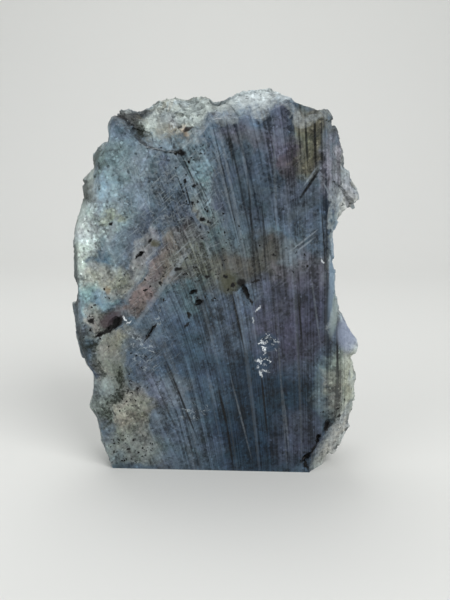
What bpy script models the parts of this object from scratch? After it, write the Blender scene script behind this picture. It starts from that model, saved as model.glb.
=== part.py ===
"""Free-standing labradorite slab: one flat polished face, a broken rim and back, a sawn base.

Metres, +Z up. The polished face looks towards -Y and the slab stands on its sawn base at z = 0.
The outlines are read off the photograph in millimetres, to the nearest half.
"""
import math

import bmesh
import bpy
from mathutils import Vector, geometry, noise

MM = 0.001
ROUNDING = 1e-5               # slack for 32-bit coordinates where a ray meets a corner

# Driving dimensions
THICKNESS = 33 * MM           # polished face to the fullest point of the back
FACE_INSET = 0.4 * MM         # least distance that the polished face stays inside the rim
FACE_RAGGED = 0.5 * MM        # how far the polished edge wanders from its outline
FACE_RAGGED_SIZE = 3.1 * MM
RIM_DEPTH_LEAST = 2.5 * MM    # how far behind the face the outermost line of the stone lies
RIM_DEPTH_MOST = 11 * MM
RIM_DEPTH_SLOPE = 0.6         # that depth grows by this much for each unit of broken edge in view
BACK_EDGE_DEPTH = 22 * MM     # where the sides turn into the back
BACK_EDGE_SWING = 7 * MM      # how far that edge wanders towards the face and away from it
BACK_EDGE_TAPER = 0.09        # share of the radius that the sides lose on their way to the back
HUB = Vector((0.0, 0.0, 60 * MM))   # every ring of the stone is drawn round this point
STATION_STEP = 2.4 * MM       # spacing of the points round the rim
EDGE_RINGS = 4                # rings between the polished edge and the rim
SIDE_RINGS = 7                # rings between the rim and the back edge
BACK_GRID = 2.7 * MM          # spacing of the points that close the back
BACK_SHOULDER = 8 * MM        # width over which the sides turn into the back
NOTCH_FADE = 9 * MM           # the rim's notches die out over this depth
SMOOTH_ANGLES = [math.radians(step * 4) for step in range(-3, 4)]
SLANT_ANGLE = math.radians(1.5)     # the rim's slant is read this far to each side

# Broken surface: flat cleavage chips of two sizes, each tilted and set in or out a little,
# over broad lumps and a flight of cleavage ledges
CHIP_SIZES = (13 * MM, 5 * MM)
CHIP_STEPS = (2.4 * MM, 0.8 * MM)
CHIP_TILT = 0.3
LUMP_SIZE = 26 * MM
LUMP_HEIGHT = 2.0 * MM
LEDGE_AXIS = Vector((0.28, 0.62, 0.73)).normalized()   # the ledges climb along this direction
LEDGE_PITCH = 8.5 * MM
LEDGE_HEIGHT = 1.3 * MM
LEDGE_WANDER = 3.2            # how far the ledges bend out of line, in pitches per unit of noise
RIM_RELIEF = 0.04             # share of the relief left on the rim itself, so its outline stays true
RELIEF_REACH = 5 * MM         # distance from the rim at which the relief is full
EDGE_ROOM = 0.6               # the relief may take this share of the way back to the polished edge

# Outermost line of the stone, clockwise from the lower left corner (x, z in mm)
RIM = [
    (-30.5, -6), (-31.5, -2.5), (-34.5, 3.5), (-36.5, 8.5), (-37, 14), (-39.5, 19.5), (-38, 23.5),
    (-38, 29.5), (-40, 32), (-41.5, 39), (-42.5, 49), (-42.5, 52), (-41.5, 55.5), (-42.5, 64.5),
    (-42, 67.5), (-42.5, 70), (-41.5, 74.5), (-40, 79), (-39, 82), (-40, 86), (-38, 88.5),
    (-35.5, 91), (-35.5, 95), (-33, 97.5), (-31, 98.5), (-31, 103.5), (-28, 107), (-22.5, 108),
    (-19.5, 109.5), (-15.5, 111), (-12.5, 111.5), (-9, 110.5), (-5.5, 110.5), (-4, 112),
    (-2.5, 111), (-1.5, 109.5), (-0.5, 109), (2, 110), (5.5, 112), (7, 112.5), (14.5, 113),
    (17, 112.5), (18, 111.5), (20.5, 111), (21.5, 109.5), (28.5, 107.5), (30.5, 107.5),
    (34, 102.5), (35, 99), (36.5, 92), (38, 91), (38.5, 88.5), (41, 84), (41.3, 82.3), (39, 80.2),
    (35.5, 77.5), (33.8, 74), (34, 68), (35, 59.5), (35.5, 53), (36, 49.5), (37.5, 48.5), (40, 45),
    (42.5, 40.5), (43.5, 37.5), (40.5, 35.5), (41.5, 34), (43, 27.5), (43, 24), (42.5, 14.5),
    (42, 12), (40, 9.5), (36, 2), (33.5, -1), (31.5, -2), (28, -6),
]

# Edge of the polished face (x, z in mm)
FACE = [
    (-31, -6), (-31.5, 0.5), (-34, 8), (-35.5, 17.5), (-37.5, 21), (-36, 29), (-39.5, 38),
    (-40.5, 50), (-40, 66), (-39, 74), (-37.5, 76), (-34, 83.5), (-33, 89), (-33.5, 93),
    (-30.5, 96.5), (-29, 101.5), (-27.5, 103), (-24.5, 99.5), (-20, 96.5), (-11, 94.5),
    (-9, 95.5), (-3, 101.5), (-2, 103.5), (2, 104.5), (13.5, 104.5), (15.5, 107.5), (21.5, 109),
    (28.5, 106.5), (29.5, 103), (30.5, 98), (31, 92), (31, 80), (30.5, 72), (31.2, 64),
    (33, 54), (35, 48), (36.5, 34.5), (37.5, 26.5), (36, 20.5), (32, 11), (29.5, 6), (28.5, -6),
]

# Back of the stone: flat breaks that meet in blunt ridges. Each has a depth in mm at the hub
# and a slope across (x) and up (z).
BACK_BREAKS = [
    (34.0, 0.03, -0.04),
    (37.5, -0.33, -0.07),
    (35.5, 0.07, -0.25),
    (38.5, 0.36, 0.09),
    (44.0, 0.1, 0.26),
]

# Natural hollows in the polished face: name, x, z, half width, half height, depth, turn (mm, degrees)
HOLLOWS = [
    ("inclusion", -30.1, 46.1, 1.4, 2.7, 1.3, -35),
    ("inclusion_tail", -34.6, 43.0, 1.7, 0.6, 0.8, 22),
    ("groove", -19.3, 43.7, 0.6, 3.1, 0.8, -34),
    ("vug_upper", 15.2, 41.0, 2.4, 2.2, 1.0, 0),
    ("vug_lower", 14.7, 35.0, 1.5, 1.7, 0.8, 12),
    ("blob", 8.4, 56.3, 1.0, 2.5, 1.0, 18),
    ("speck_big", -5.1, 53.0, 1.3, 0.9, 0.8, 20),
    ("speck_long", -6.8, 56.0, 1.4, 0.7, 0.7, 25),
    ("speck_left", -22.1, 66.6, 1.6, 0.6, 0.7, 35),
    ("top_break", -23.6, 99.6, 0.9, 2.4, 1.4, 45),
    ("corner_crack_low", 28.0, 5.2, 0.8, 2.1, 1.3, -45),
    ("corner_crack_mid", 31.2, 11.2, 0.8, 1.6, 1.3, -8),
    ("corner_crack_high", 33.6, 15.9, 1.0, 1.7, 1.3, -28),
]
HOLLOW_ROUGHNESS = 0.28       # how uneven a hollow's wall is, as a share of its size


def ray_radius(outline, angle):
    """Distance from the hub to a closed outline along an angle in the XZ plane."""
    direction = Vector((math.cos(angle), math.sin(angle)))
    hub = Vector((HUB.x, HUB.z))
    best = 0.0
    for start, end in zip(outline, outline[1:] + outline[:1]):
        first = Vector(start) * MM - hub
        edge = Vector(end) * MM - Vector(start) * MM
        across = direction.x * edge.y - direction.y * edge.x
        if abs(across) < 1e-12:
            continue
        distance = (first.x * edge.y - first.y * edge.x) / across
        along = (first.x * direction.y - first.y * direction.x) / across
        if distance > 0 and -ROUNDING <= along <= 1 + ROUNDING:
            best = max(best, distance)
    return best


def stations():
    """Angles round the hub, spaced along the rim so that every corner of it keeps a point."""
    angles = []
    for start, end in zip(RIM, RIM[1:] + RIM[:1]):
        first, last = Vector(start) * MM, Vector(end) * MM
        parts = max(1, round((last - first).length / STATION_STEP))
        for part in range(parts):
            point = first.lerp(last, part / parts)
            angles.append(math.atan2(point.y - HUB.z, point.x - HUB.x))
    return angles


def smooth_radius(angle):
    """The rim's radius with its notches and spurs averaged away."""
    radii = [ray_radius(RIM, angle + offset) for offset in SMOOTH_ANGLES]
    return sum(radii) / len(radii)


def squareness(angle):
    """How squarely the rim faces away from the hub: 1 square on, near 0 where it runs radially."""
    before, after = (ray_radius(RIM, angle + turn) for turn in (-SLANT_ANGLE, SLANT_ANGLE))
    slant = (after - before) / (SLANT_ANGLE * (after + before))
    return 1 / math.sqrt(1 + slant * slant)


def chip_offset(point, size, step):
    """Height of the flat chip that a point lies on: one step and one tilt for each Voronoi cell."""
    centre = noise.voronoi(point / size)[1][0]
    tilt = noise.noise_vector(centre * 5.3) * CHIP_TILT
    return noise.noise(centre * 3.7) * step + (point - centre * size).dot(tilt)


def relief(point):
    """Depth of the broken surface under its ideal shape, in metres and never negative."""
    depth = noise.noise(point / LUMP_SIZE) * LUMP_HEIGHT
    for size, step in zip(CHIP_SIZES, CHIP_STEPS):
        depth += chip_offset(point, size, step)
    climb = point.dot(LEDGE_AXIS) / LEDGE_PITCH + LEDGE_WANDER * noise.noise(point / LUMP_SIZE)
    return abs(depth) + LEDGE_HEIGHT * (climb - math.floor(climb))


def ring_point(angle, radius, depth):
    return Vector((HUB.x + radius * math.cos(angle), depth, HUB.z + radius * math.sin(angle)))


def sunk(point, share, most=THICKNESS):
    """A point moved towards the hub's axis by its relief."""
    inward = Vector((HUB.x - point.x, 0, HUB.z - point.z)).normalized()
    return point + inward * min(relief(point) * share, most)


def section(angle):
    """One section of the stone, from the polished edge over the rim to the back edge."""
    rim = ray_radius(RIM, angle)
    face = ray_radius(FACE, angle)
    face += FACE_RAGGED * noise.noise(ring_point(angle, face, 0) / FACE_RAGGED_SIZE)
    face = min(face, rim - FACE_INSET)
    rim_depth = RIM_DEPTH_LEAST + RIM_DEPTH_SLOPE * (rim - face)
    rim_depth = min(rim_depth, RIM_DEPTH_MOST)
    points = [ring_point(angle, face, 0.0)]
    for ring in range(1, EDGE_RINGS + 1):
        share = ring / EDGE_RINGS
        radius = face + (rim - face) * math.sin(share * math.pi / 2)
        depth = rim_depth * share ** 1.25
        rough = min(1, (rim - radius) / RELIEF_REACH + RIM_RELIEF)
        points.append(sunk(ring_point(angle, radius, depth), rough, EDGE_ROOM * (radius - face)))
    calm = smooth_radius(angle)
    square = squareness(angle)
    last = back_edge_depth(ring_point(angle, calm, 0))
    for ring in range(1, SIDE_RINGS + 1):
        share = ring / SIDE_RINGS
        depth = rim_depth + (last - rim_depth) * share
        fade = min(1, (depth - rim_depth) / NOTCH_FADE)
        radius = (rim + (calm - rim) * fade) * (1 - BACK_EDGE_TAPER * share ** 2)
        rough = min(1, (depth - rim_depth) / RELIEF_REACH + RIM_RELIEF)
        points.append(sunk(ring_point(angle, radius, depth), rough * square))
    return points


def back_edge_depth(point):
    """How far behind the face the sides turn into the back."""
    flat = Vector((point.x, 0, point.z))
    return BACK_EDGE_DEPTH + BACK_EDGE_SWING * noise.noise(flat / LUMP_SIZE)


def back_depth(point):
    """Depth of the back at a place: the lowest of its flat breaks, less the relief."""
    across, up = (point.x - HUB.x) / MM, (point.z - HUB.z) / MM
    depth = min(base + slope_x * across + slope_z * up for base, slope_x, slope_z in BACK_BREAKS)
    return min(depth * MM, THICKNESS) - relief(point)


def edge_distance(outline, point):
    """Distance from a point to a closed outline, negative outside it."""
    best = math.inf
    crossings = 0
    for start, end in zip(outline, outline[1:] + outline[:1]):
        edge = end - start
        share = max(0.0, min(1.0, (point - start).dot(edge) / edge.length_squared))
        best = min(best, (point - start - edge * share).length)
        if (start.y > point.y) != (end.y > point.y):
            crossings += start.x + (point.y - start.y) * edge.x / edge.y > point.x
    return best if crossings % 2 else -best


def close_back(mesh, loop):
    """Cover the back with an even net of points, hung from the loop of back edge vertices."""
    outline = [Vector((vert.co.x, vert.co.z)) for vert in loop]
    points = list(outline)
    reach = int(max(point.length for point in outline) / BACK_GRID) + 1
    for row in range(-reach, reach + 1):
        for column in range(-reach, reach + 1):
            point = Vector((
                HUB.x + (column + 0.5 * (row % 2)) * BACK_GRID,
                HUB.z + row * BACK_GRID * math.sin(math.pi / 3)))
            if edge_distance(outline, point) > BACK_GRID / 2:
                points.append(point)
    ring = [(index, (index + 1) % len(loop)) for index in range(len(loop))]
    flat_points, _, triangles, *_ = geometry.delaunay_2d_cdt(points, ring, [], 1, 1e-7)
    verts = list(loop)
    for point in flat_points[len(loop):]:
        place = Vector((point.x, 0, point.y))
        place.y = back_edge_depth(place)
        share = min(1, edge_distance(outline, point) / BACK_SHOULDER)
        place.y += (back_depth(place) - place.y) * math.sin(share * math.pi / 2)
        verts.append(mesh.verts.new(place))
    for corners in triangles:
        mesh.faces.new([verts[corner] for corner in corners])


def build_stone():
    """Loft the rings, close the face and the back, and saw the base flat."""
    mesh = bmesh.new()
    columns = [[mesh.verts.new(point) for point in section(angle)] for angle in stations()]
    for column, following in zip(columns, columns[1:] + columns[:1]):
        for low in range(len(column) - 1):
            mesh.faces.new((column[low], following[low], following[low + 1], column[low + 1]))
    mesh.faces.new([column[0] for column in columns])
    close_back(mesh, [column[-1] for column in columns])
    bmesh.ops.bisect_plane(
        mesh, geom=mesh.verts[:] + mesh.edges[:] + mesh.faces[:], dist=1e-7,
        plane_co=(0, 0, 0), plane_no=(0, 0, 1), clear_inner=True)
    bmesh.ops.holes_fill(mesh, edges=[edge for edge in mesh.edges if edge.is_boundary], sides=0)
    bmesh.ops.triangulate(mesh, faces=mesh.faces[:], ngon_method="BEAUTY")
    bmesh.ops.recalc_face_normals(mesh, faces=mesh.faces[:])
    return mesh


def add_hollow(mesh, x, z, half_width, half_height, depth, turn):
    """An uneven flattened ball whose front half stands out of the polished face."""
    start = len(mesh.verts)
    bmesh.ops.create_icosphere(mesh, subdivisions=2, radius=1.0)
    mesh.verts.ensure_lookup_table()
    angle = math.radians(turn)
    for vert in mesh.verts[start:]:
        wobble = 1 + HOLLOW_ROUGHNESS * noise.noise(vert.co * 1.7 + Vector((x, 0, z)))
        across = vert.co.x * half_width * wobble
        up = vert.co.z * half_height * wobble
        vert.co = Vector((
            x + across * math.cos(angle) - up * math.sin(angle),
            vert.co.y * depth * wobble,
            z + across * math.sin(angle) + up * math.cos(angle))) * MM


def to_object(name, mesh):
    data = bpy.data.meshes.new(name)
    mesh.to_mesh(data)
    mesh.free()
    item = bpy.data.objects.new(name, data)
    bpy.context.scene.collection.objects.link(item)
    return item


def stone_material():
    material = bpy.data.materials.new("labradorite")
    material.use_nodes = True
    shader = material.node_tree.nodes["Principled BSDF"]
    shader.inputs["Base Color"].default_value = (0.10, 0.13, 0.16, 1)
    shader.inputs["Roughness"].default_value = 0.35
    shader.inputs["Metallic"].default_value = 0.0
    return material


def centring_shift(mesh):
    """The move that puts the middle of the stone's own box over the origin."""
    xs = [vert.co.x for vert in mesh.verts]
    ys = [vert.co.y for vert in mesh.verts]
    return Vector((-(min(xs) + max(xs)) / 2, -(min(ys) + max(ys)) / 2, 0))


def main():
    for item in list(bpy.data.objects):
        bpy.data.objects.remove(item)

    stone_mesh = build_stone()
    shift = centring_shift(stone_mesh)
    bmesh.ops.translate(stone_mesh, verts=stone_mesh.verts[:], vec=shift)
    slab = to_object("labradorite_slab", stone_mesh)
    slab.data.materials.append(stone_material())

    hollow_mesh = bmesh.new()
    for _, *shape in HOLLOWS:
        add_hollow(hollow_mesh, *shape)
    bmesh.ops.translate(hollow_mesh, verts=hollow_mesh.verts[:], vec=shift)
    hollows = to_object("hollows_cutter", hollow_mesh)
    hollows.hide_render = True
    hollows.display_type = "WIRE"

    cut = slab.modifiers.new("hollows", "BOOLEAN")
    cut.operation = "DIFFERENCE"
    cut.solver = "EXACT"
    cut.object = hollows


main()
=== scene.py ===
# %% [markdown]
# A free-standing labradorite slab.
# The stone is one piece: a flat face ground and polished to a gloss, a broken rim and back, and a
# sawn base that it stands on. This lesson dresses the plain imported solid. It gives the broken parts
# their cleavage chips and grains as real geometry, and paints the polished face with nodes alone.
# We start by loading the imported model, and we keep its box.

# %% Load the imported model
import math

import bpy
from mathutils import Matrix, Vector


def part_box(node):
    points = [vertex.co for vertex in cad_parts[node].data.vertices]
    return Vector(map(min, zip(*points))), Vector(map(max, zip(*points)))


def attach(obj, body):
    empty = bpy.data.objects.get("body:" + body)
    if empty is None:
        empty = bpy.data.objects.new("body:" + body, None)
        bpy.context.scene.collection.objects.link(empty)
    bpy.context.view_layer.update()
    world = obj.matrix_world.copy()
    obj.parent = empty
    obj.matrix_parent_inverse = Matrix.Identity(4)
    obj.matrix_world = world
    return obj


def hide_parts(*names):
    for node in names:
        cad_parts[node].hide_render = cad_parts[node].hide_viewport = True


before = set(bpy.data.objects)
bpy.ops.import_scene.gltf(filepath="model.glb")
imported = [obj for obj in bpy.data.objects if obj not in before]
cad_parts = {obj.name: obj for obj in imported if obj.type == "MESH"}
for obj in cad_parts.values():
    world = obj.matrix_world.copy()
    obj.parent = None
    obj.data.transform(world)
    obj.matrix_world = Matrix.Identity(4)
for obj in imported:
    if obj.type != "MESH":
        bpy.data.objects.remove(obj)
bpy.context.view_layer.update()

STONE_NODE = "labradorite_slab"
LOW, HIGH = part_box(STONE_NODE)
MM = 0.001
print("packed solid, mm:", [round(side / MM, 1) for side in HIGH - LOW])

# %% [markdown]
# The camera comes first, because everything is judged through it. The photograph was taken from a
# little below the top of the slab, looking down at it. The pitch, height and distance were worked
# out from the upright face and the level foot of the slab.

# %% Camera
CAMERA_X = 6.6 * MM            # sideways from the middle of the slab
CAMERA_BACK = 184.5 * MM       # in front of the polished face
CAMERA_HEIGHT = 93.5 * MM      # above the table
CAMERA_PITCH = math.radians(12.16)
CAMERA_YAW = math.radians(1.4)
CAMERA_ROLL = math.radians(0.6)
LENS_MM = 39.0
SENSOR_MM = 36.0
NEAREST_SEEN = 5 * MM

camera = bpy.data.objects.new("camera", bpy.data.cameras.new("camera"))
bpy.context.scene.collection.objects.link(camera)
bpy.context.scene.camera = camera
camera.data.lens = LENS_MM
camera.data.sensor_width = SENSOR_MM
camera.data.clip_start = NEAREST_SEEN
camera.location = (CAMERA_X, LOW.y - CAMERA_BACK, CAMERA_HEIGHT)
turn = Matrix.Rotation(CAMERA_YAW, 3, "Z") @ Matrix.Rotation(math.pi / 2 - CAMERA_PITCH, 3, "X")
camera.rotation_euler = (turn @ Matrix.Rotation(CAMERA_ROLL, 3, "Z")).to_euler()
print("camera at, mm:", [round(value / MM, 1) for value in camera.location])

# %% [markdown]
# Two small helpers serve the whole lesson. One turns a hex colour, as any paint program shows it,
# into the linear values that the renderer works in. The other adds a node to a tree and, in the same
# call, makes its settings and feeds its inputs: a node or a socket is linked, and anything else is a
# plain value. Only the sockets that are in use for those settings are counted or looked up.

# %% Helpers
MATH = "ShaderNodeMath"
VECTOR = "ShaderNodeVectorMath"
RANGE = "ShaderNodeMapRange"
NOISE = "ShaderNodeTexNoise"
CELLS = "ShaderNodeTexVoronoi"
MIX = "ShaderNodeMix"
MID = 0.5                      # the middle value of a noise or a random draw
MID_COLOUR = (MID, MID, MID)


def hex_colour(text):
    """Linear RGBA from an sRGB hex string."""
    parts = [int(text[start:start + 2], 16) / 255 for start in (1, 3, 5)]
    linear = [part / 12.92 if part <= 0.04045 else ((part + 0.055) / 1.055) ** 2.4 for part in parts]
    return (*linear, 1.0)


def node(tree, kind, inputs=None, **settings):
    """Add a node with its settings, and link or set the inputs that are given."""
    made = tree.nodes.new(kind)
    for name, value in settings.items():
        setattr(made, name, value)
    for key, value in (inputs or {}).items():
        used = [socket for socket in made.inputs if socket.enabled]
        target = used[key] if isinstance(key, int) else next(item for item in used if item.name == key)
        if isinstance(value, bpy.types.Node):
            value = next(item for item in value.outputs if item.enabled)
        if isinstance(value, bpy.types.NodeSocket):
            tree.links.new(value, target)
        else:
            target.default_value = value
    return made


print("mid grey in linear light:", [round(part, 3) for part in hex_colour("#808080")])

# %% [markdown]
# The studio is plain: a pale floor that sweeps up behind the stone, wide soft lights from the front
# and above, and a weak pale surround. Big soft lights suit a polished stone, because every small
# lamp would show in the face as a spot. The lights also stay out of the directions that the face
# mirrors into the camera, so that it keeps its deep colour.

# %% Floor and backdrop
FLOOR_COLOUR = "#d2d2cf"
FLOOR_ROUGHNESS = 0.85
FLOOR_REACH = 1.6              # from the middle to the edge of the floor, in metres as all of the studio
SWEEP_START = 0.35             # where the floor starts to rise behind the stone
SWEEP_RADIUS = 0.30
SWEEP_STEPS = 16


def make_sweep():
    """A floor and a backdrop in one sheet, joined by a quarter of a circle."""
    profile = [(-FLOOR_REACH, 0.0), (SWEEP_START, 0.0)]
    for step in range(1, SWEEP_STEPS + 1):
        angle = math.pi / 2 * step / SWEEP_STEPS
        profile.append((
            SWEEP_START + SWEEP_RADIUS * math.sin(angle),
            SWEEP_RADIUS * (1 - math.cos(angle))))
    profile.append((SWEEP_START + SWEEP_RADIUS, FLOOR_REACH))
    verts = [(side * FLOOR_REACH, y, z) for y, z in profile for side in (-1, 1)]
    faces = [(2 * i, 2 * i + 1, 2 * i + 3, 2 * i + 2) for i in range(len(profile) - 1)]
    mesh = bpy.data.meshes.new("pale_floor")
    mesh.from_pydata(verts, [], faces)
    mesh.shade_smooth()
    floor = bpy.data.objects.new("pale_floor", mesh)
    bpy.context.scene.collection.objects.link(floor)
    material = bpy.data.materials.new("matt_paper")
    material.use_nodes = True
    shader = material.node_tree.nodes["Principled BSDF"]
    shader.inputs["Base Color"].default_value = hex_colour(FLOOR_COLOUR)
    shader.inputs["Roughness"].default_value = FLOOR_ROUGHNESS
    mesh.materials.append(material)
    return floor


make_sweep()
print("floor strips:", SWEEP_STEPS + 2, "and its reach, m:", FLOOR_REACH)

# %% Lights and surround
LIGHTS = [
    # name, place, width and height, power in watts
    ("key_softbox", (0.45, -0.55, 0.7), (0.6, 0.5), 6.0),
    ("fill_softbox", (-0.65, -0.5, 0.4), (0.6, 0.6), 2.4),
    ("top_softbox", (-0.1, 0.25, 0.8), (0.5, 0.4), 2.6),
]
SKY_COLOUR = "#dfe3e6"
SKY_STRENGTH = 0.5
MIDDLE = Vector((0.0, 0.0, HIGH.z / 2))


def add_light(name, spot, size, power):
    """A rectangular soft light that points at the middle of the stone."""
    data = bpy.data.lights.new(name, "AREA")
    data.shape = "RECTANGLE"
    data.size, data.size_y = size
    data.energy = power
    light = bpy.data.objects.new(name, data)
    bpy.context.scene.collection.objects.link(light)
    light.location = spot
    light.rotation_euler = (MIDDLE - Vector(spot)).to_track_quat("-Z", "Y").to_euler()


for light_values in LIGHTS:
    add_light(*light_values)

world = bpy.data.worlds.new("pale_surround")
bpy.context.scene.world = world
world.use_nodes = True
world.node_tree.nodes["Background"].inputs["Color"].default_value = hex_colour(SKY_COLOUR)
world.node_tree.nodes["Background"].inputs["Strength"].default_value = SKY_STRENGTH
bpy.context.scene.view_settings.view_transform = "Standard"

# %% [markdown]
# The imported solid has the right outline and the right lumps, in flat facets two or three millimetres
# across. Labradorite breaks along two cleavages, so up close the broken parts are stepped, chipped
# and sugary. A voxel remesh turns the copy into an even skin of small faces that can hold all that.
# The remesh rounds the edge of the polished face by less than half a voxel, and a later step puts
# that edge back.

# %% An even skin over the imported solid
SKIN_VOXEL = 0.36 * MM
WELD_REACH = 0.001 * MM


def finished_copy(source, name):
    """Evaluate an object's modifiers into a plain mesh in a new object, and drop the old one."""
    bpy.context.view_layer.update()
    evaluated = source.evaluated_get(bpy.context.evaluated_depsgraph_get())
    mesh = bpy.data.meshes.new_from_object(evaluated)
    mesh.name = name
    made = bpy.data.objects.new(name, mesh)
    bpy.context.scene.collection.objects.link(made)
    bpy.data.objects.remove(source)
    return made


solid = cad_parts[STONE_NODE]
skin = bpy.data.objects.new("skin", solid.data.copy())
bpy.context.scene.collection.objects.link(skin)
weld = skin.modifiers.new("weld", "WELD")
weld.merge_threshold = WELD_REACH
remesh = skin.modifiers.new("even skin", "REMESH")
remesh.mode = "VOXEL"
remesh.voxel_size = SKIN_VOXEL
skin = finished_copy(skin, "skin")
print("skin faces:", len(skin.data.polygons))

# %% [markdown]
# Geometry Nodes now breaks the rim, the sides and the back. The rule is one that a chisel follows:
# space is split into Voronoi cells, and all of the surface that falls in one cell is moved to one
# plane of its own. Three sizes of cell give chips, flakes and grains. Two flat places must not move,
# so the tree measures how far each point lies behind the polished face and above the base, and
# fades the relief out there. Points that are nearly on one of those planes are put exactly on it.
# The relief is also calmer near the face, where grinding has knocked off the loose chips.

# %% Sizes of the breaks, and a tree that takes them
BREAK_SIZES = {
    "Chip Size": 8.0 * MM, "Chip Height": 1.1 * MM,
    "Flake Size": 2.8 * MM, "Flake Height": 0.36 * MM,
    "Grain Size": 1.0 * MM, "Grain Height": 0.17 * MM,
    "Ledge Pitch": 2.3 * MM, "Ledge Height": 0.24 * MM,
    "Tilt": 0.27, "Sink": 0.5 * MM,
    "Calm Depth": 10.0 * MM, "Calm Share": 0.33,
    "Face Y": LOW.y, "Flat Margin": 0.2 * MM, "Fade": 0.8 * MM,
}


def new_tree(name, sizes):
    """A Geometry Nodes tree with one named number input for each size."""
    tree = bpy.data.node_groups.new(name, "GeometryNodeTree")
    tree.interface.new_socket("Geometry", in_out="INPUT", socket_type="NodeSocketGeometry")
    tree.interface.new_socket("Geometry", in_out="OUTPUT", socket_type="NodeSocketGeometry")
    for label in sizes:
        tree.interface.new_socket(label, in_out="INPUT", socket_type="NodeSocketFloat")
    return tree, tree.nodes.new("NodeGroupInput"), tree.nodes.new("NodeGroupOutput")


def add_tree(item, tree, sizes):
    """Put a tree on an object and set its inputs by their sockets' identifiers."""
    modifier = item.modifiers.new(tree.name, "NODES")
    modifier.node_group = tree
    for socket in tree.interface.items_tree:
        if socket.in_out == "INPUT" and socket.name in sizes:
            modifier[socket.identifier] = sizes[socket.name]


print("sizes of the breaks:", len(BREAK_SIZES))

# %% The tree that breaks the surface
BENDS_PER_METRE = 70.0         # noise of this scale bends the cells, so that no chip is a neat polygon
BEND_SWING = 4 * MM
CLEAVAGE = (0.93, 0.0, 0.37)   # the way that the ledges of the main cleavage climb


def chips(tree, place, size, height, tilt):
    """Height of flat chips: each Voronoi cell gets one step and one slope of its own."""
    shrink = node(tree, MATH, {0: 1.0, 1: size}, operation="DIVIDE")
    scaled = node(tree, VECTOR, {0: place, "Scale": shrink}, operation="SCALE")
    cell = node(tree, CELLS, {"Vector": scaled, "Scale": 1.0}).outputs["Position"]
    draw = node(tree, "ShaderNodeTexWhiteNoise", {"Vector": cell}, noise_dimensions="3D")
    slope = node(tree, VECTOR, {0: draw.outputs["Color"], 1: MID_COLOUR}, operation="SUBTRACT")
    offset = node(tree, VECTOR, {0: scaled, 1: cell}, operation="SUBTRACT")
    lean = node(tree, VECTOR, {0: slope, 1: offset}, operation="DOT_PRODUCT")
    reach = node(tree, MATH, {0: size, 1: tilt}, operation="MULTIPLY")
    level = node(tree, MATH, {0: draw.outputs["Value"], 1: MID}, operation="SUBTRACT")
    step = node(tree, MATH, {0: level, 1: height}, operation="MULTIPLY")
    return node(tree, MATH, {0: lean, 1: reach, 2: step}, operation="MULTIPLY_ADD")


def make_breaker(material):
    """The tree: heights of the broken surface, faded out at the face and the base, then applied."""
    tree, given, out = new_tree("break_surface", BREAK_SIZES)
    size = given.outputs
    place = node(tree, "GeometryNodeInputPosition")
    axes = node(tree, "ShaderNodeSeparateXYZ", {0: place})
    behind = node(tree, MATH, {0: axes.outputs["Y"], 1: size["Face Y"]}, operation="SUBTRACT")

    bend = node(tree, NOISE, {"Vector": place, "Scale": BENDS_PER_METRE, "Detail": 2.0})
    swing = (BEND_SWING, BEND_SWING, BEND_SWING)
    bent = node(tree, VECTOR, {0: bend.outputs["Color"], 1: swing, 2: place}, operation="MULTIPLY_ADD")
    chip = chips(tree, bent, size["Chip Size"], size["Chip Height"], size["Tilt"])
    flake = chips(tree, bent, size["Flake Size"], size["Flake Height"], size["Tilt"])
    grain = chips(tree, place, size["Grain Size"], size["Grain Height"], size["Tilt"])
    height = node(tree, MATH, {0: chip, 1: flake}, operation="ADD")
    height = node(tree, MATH, {0: height, 1: grain}, operation="ADD")

    across = node(tree, VECTOR, {0: bent, 1: CLEAVAGE}, operation="DOT_PRODUCT")
    climb = node(tree, MATH, {0: across, 1: size["Ledge Pitch"]}, operation="DIVIDE")
    ramp = node(tree, MATH, {0: climb}, operation="FRACT")
    height = node(tree, MATH, {0: ramp, 1: size["Ledge Height"], 2: height}, operation="MULTIPLY_ADD")
    height = node(tree, MATH, {0: height, 1: size["Sink"]}, operation="SUBTRACT")
    calm = node(tree, RANGE, {"Value": behind, "From Max": size["Calm Depth"],
                              "To Min": size["Calm Share"], "To Max": 1.0})
    height = node(tree, MATH, {0: height, 1: calm}, operation="MULTIPLY")

    faded = node(tree, MATH, {0: size["Flat Margin"], 1: size["Fade"]}, operation="ADD")
    for distance in (behind, axes.outputs["Z"]):
        share = node(tree, RANGE, {"Value": distance, "From Min": size["Flat Margin"], "From Max": faded})
        height = node(tree, MATH, {0: height, 1: share}, operation="MULTIPLY")
    push = node(tree, VECTOR, {0: node(tree, "GeometryNodeInputNormal"), "Scale": height},
                operation="SCALE")
    broken = node(tree, "GeometryNodeSetPosition", {"Geometry": size["Geometry"], "Offset": push})

    settle = []
    for distance in (behind, axes.outputs["Z"]):
        near = node(tree, MATH, {0: distance, 1: size["Flat Margin"]}, operation="LESS_THAN")
        near = node(tree, MATH, {0: near, 1: distance}, operation="MULTIPLY")
        settle.append(node(tree, MATH, {0: near, 1: -1.0}, operation="MULTIPLY"))
    settle = node(tree, "ShaderNodeCombineXYZ", {"Y": settle[0], "Z": settle[1]})
    flat = node(tree, "GeometryNodeSetPosition", {"Geometry": broken, "Offset": settle})
    whole = node(tree, "GeometryNodeRealizeInstances", {"Geometry": flat})
    painted = node(tree, "GeometryNodeSetMaterial", {"Geometry": whole, "Material": material})
    tree.links.new(painted.outputs[0], out.inputs["Geometry"])
    return tree


stone_material = bpy.data.materials.new("polished_and_broken_labradorite")
breaker = make_breaker(stone_material)
print("nodes that break the surface:", len(breaker.nodes))

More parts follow.
